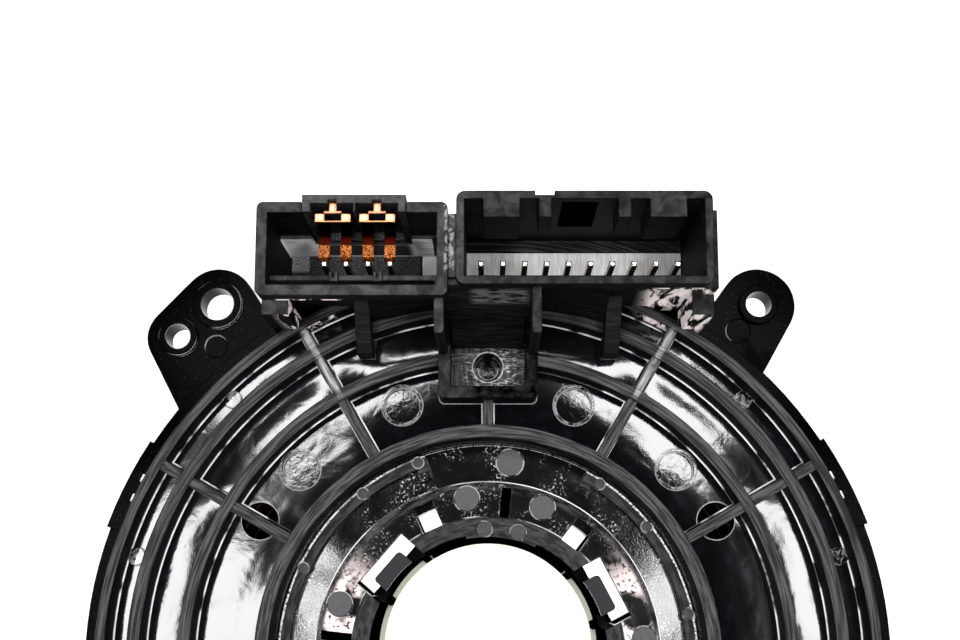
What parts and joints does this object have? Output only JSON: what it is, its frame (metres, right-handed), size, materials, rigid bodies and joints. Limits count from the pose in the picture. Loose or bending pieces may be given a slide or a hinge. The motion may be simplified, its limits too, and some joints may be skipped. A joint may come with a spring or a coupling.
{
  "type": "steering clock spring",
  "caption": "Round column-mounted spiral cable unit: a hub that turns with the steering wheel inside a ribbed case with ears and two plug sockets.",
  "frame": {"origin": "on the axis of rotation, in the plane of the front face that faces the steering wheel", "axes": "+Z along the axis of rotation towards the steering column, +Y from the axis towards the two column sockets, +X to the right seen from the column side"},
  "size_m": [0.099, 0.1113, 0.0462],
  "materials": {
    "case_black": "glossy moulded",
    "plate_black": "glossy floors, matt rib tops",
    "rotor_black": "semi-gloss moulded",
    "insert_black": "fine spark-eroded texture",
    "lead_grey": "light grey glass-filled",
    "cream": "natural acetal",
    "copper": "bare copper alloy strip",
    "tinned_pin": "tin-plated square pin",
    "ribbon": "polyester film ribbon",
    "slip_film": "slip film"
  },
  "bodies": {
    "stator": {"outer_case": "case_black", "back_plate": "plate_black", "stator_lead_block": "lead_grey", "airbag_insert": "insert_black", "clip_carrier": "insert_black", "flat_cable": "ribbon", "stator_slip_sheet": "slip_film", "shorting_clip_1": "copper", "shorting_clip_2": "copper", "switch_pin_01": "tinned_pin", "switch_pin_02": "tinned_pin", "switch_pin_03": "tinned_pin", "switch_pin_04": "tinned_pin", "switch_pin_05": "tinned_pin", "switch_pin_06": "tinned_pin", "switch_pin_07": "tinned_pin", "switch_pin_08": "tinned_pin", "switch_pin_09": "tinned_pin", "switch_pin_10": "tinned_pin", "airbag_pin_1": "tinned_pin", "airbag_pin_2": "tinned_pin", "airbag_pin_3": "tinned_pin", "airbag_pin_4": "tinned_pin"},
    "rotor": {"rotor_hub": "rotor_black", "rotor_sleeve": "rotor_black", "front_shroud": "rotor_black", "inlet_hood": "rotor_black", "rotor_lead_block": "lead_grey", "rotor_slip_sheet": "slip_film", "bore_collar": "cream", "rotor_pin_01": "tinned_pin", "rotor_pin_02": "tinned_pin", "rotor_pin_03": "tinned_pin", "rotor_pin_04": "tinned_pin", "rotor_pin_05": "tinned_pin", "rotor_pin_06": "tinned_pin", "rotor_pin_07": "tinned_pin", "rotor_pin_08": "tinned_pin", "rotor_pin_09": "tinned_pin", "rotor_pin_10": "tinned_pin"}
  },
  "joints": [
    {"name": "rotor_turn", "type": "hinge", "parent": "stator", "child": "rotor", "pos_m": [0, 0, 0], "axis": [0, 0, 1], "range_deg": [-900, 900]}
  ]
}
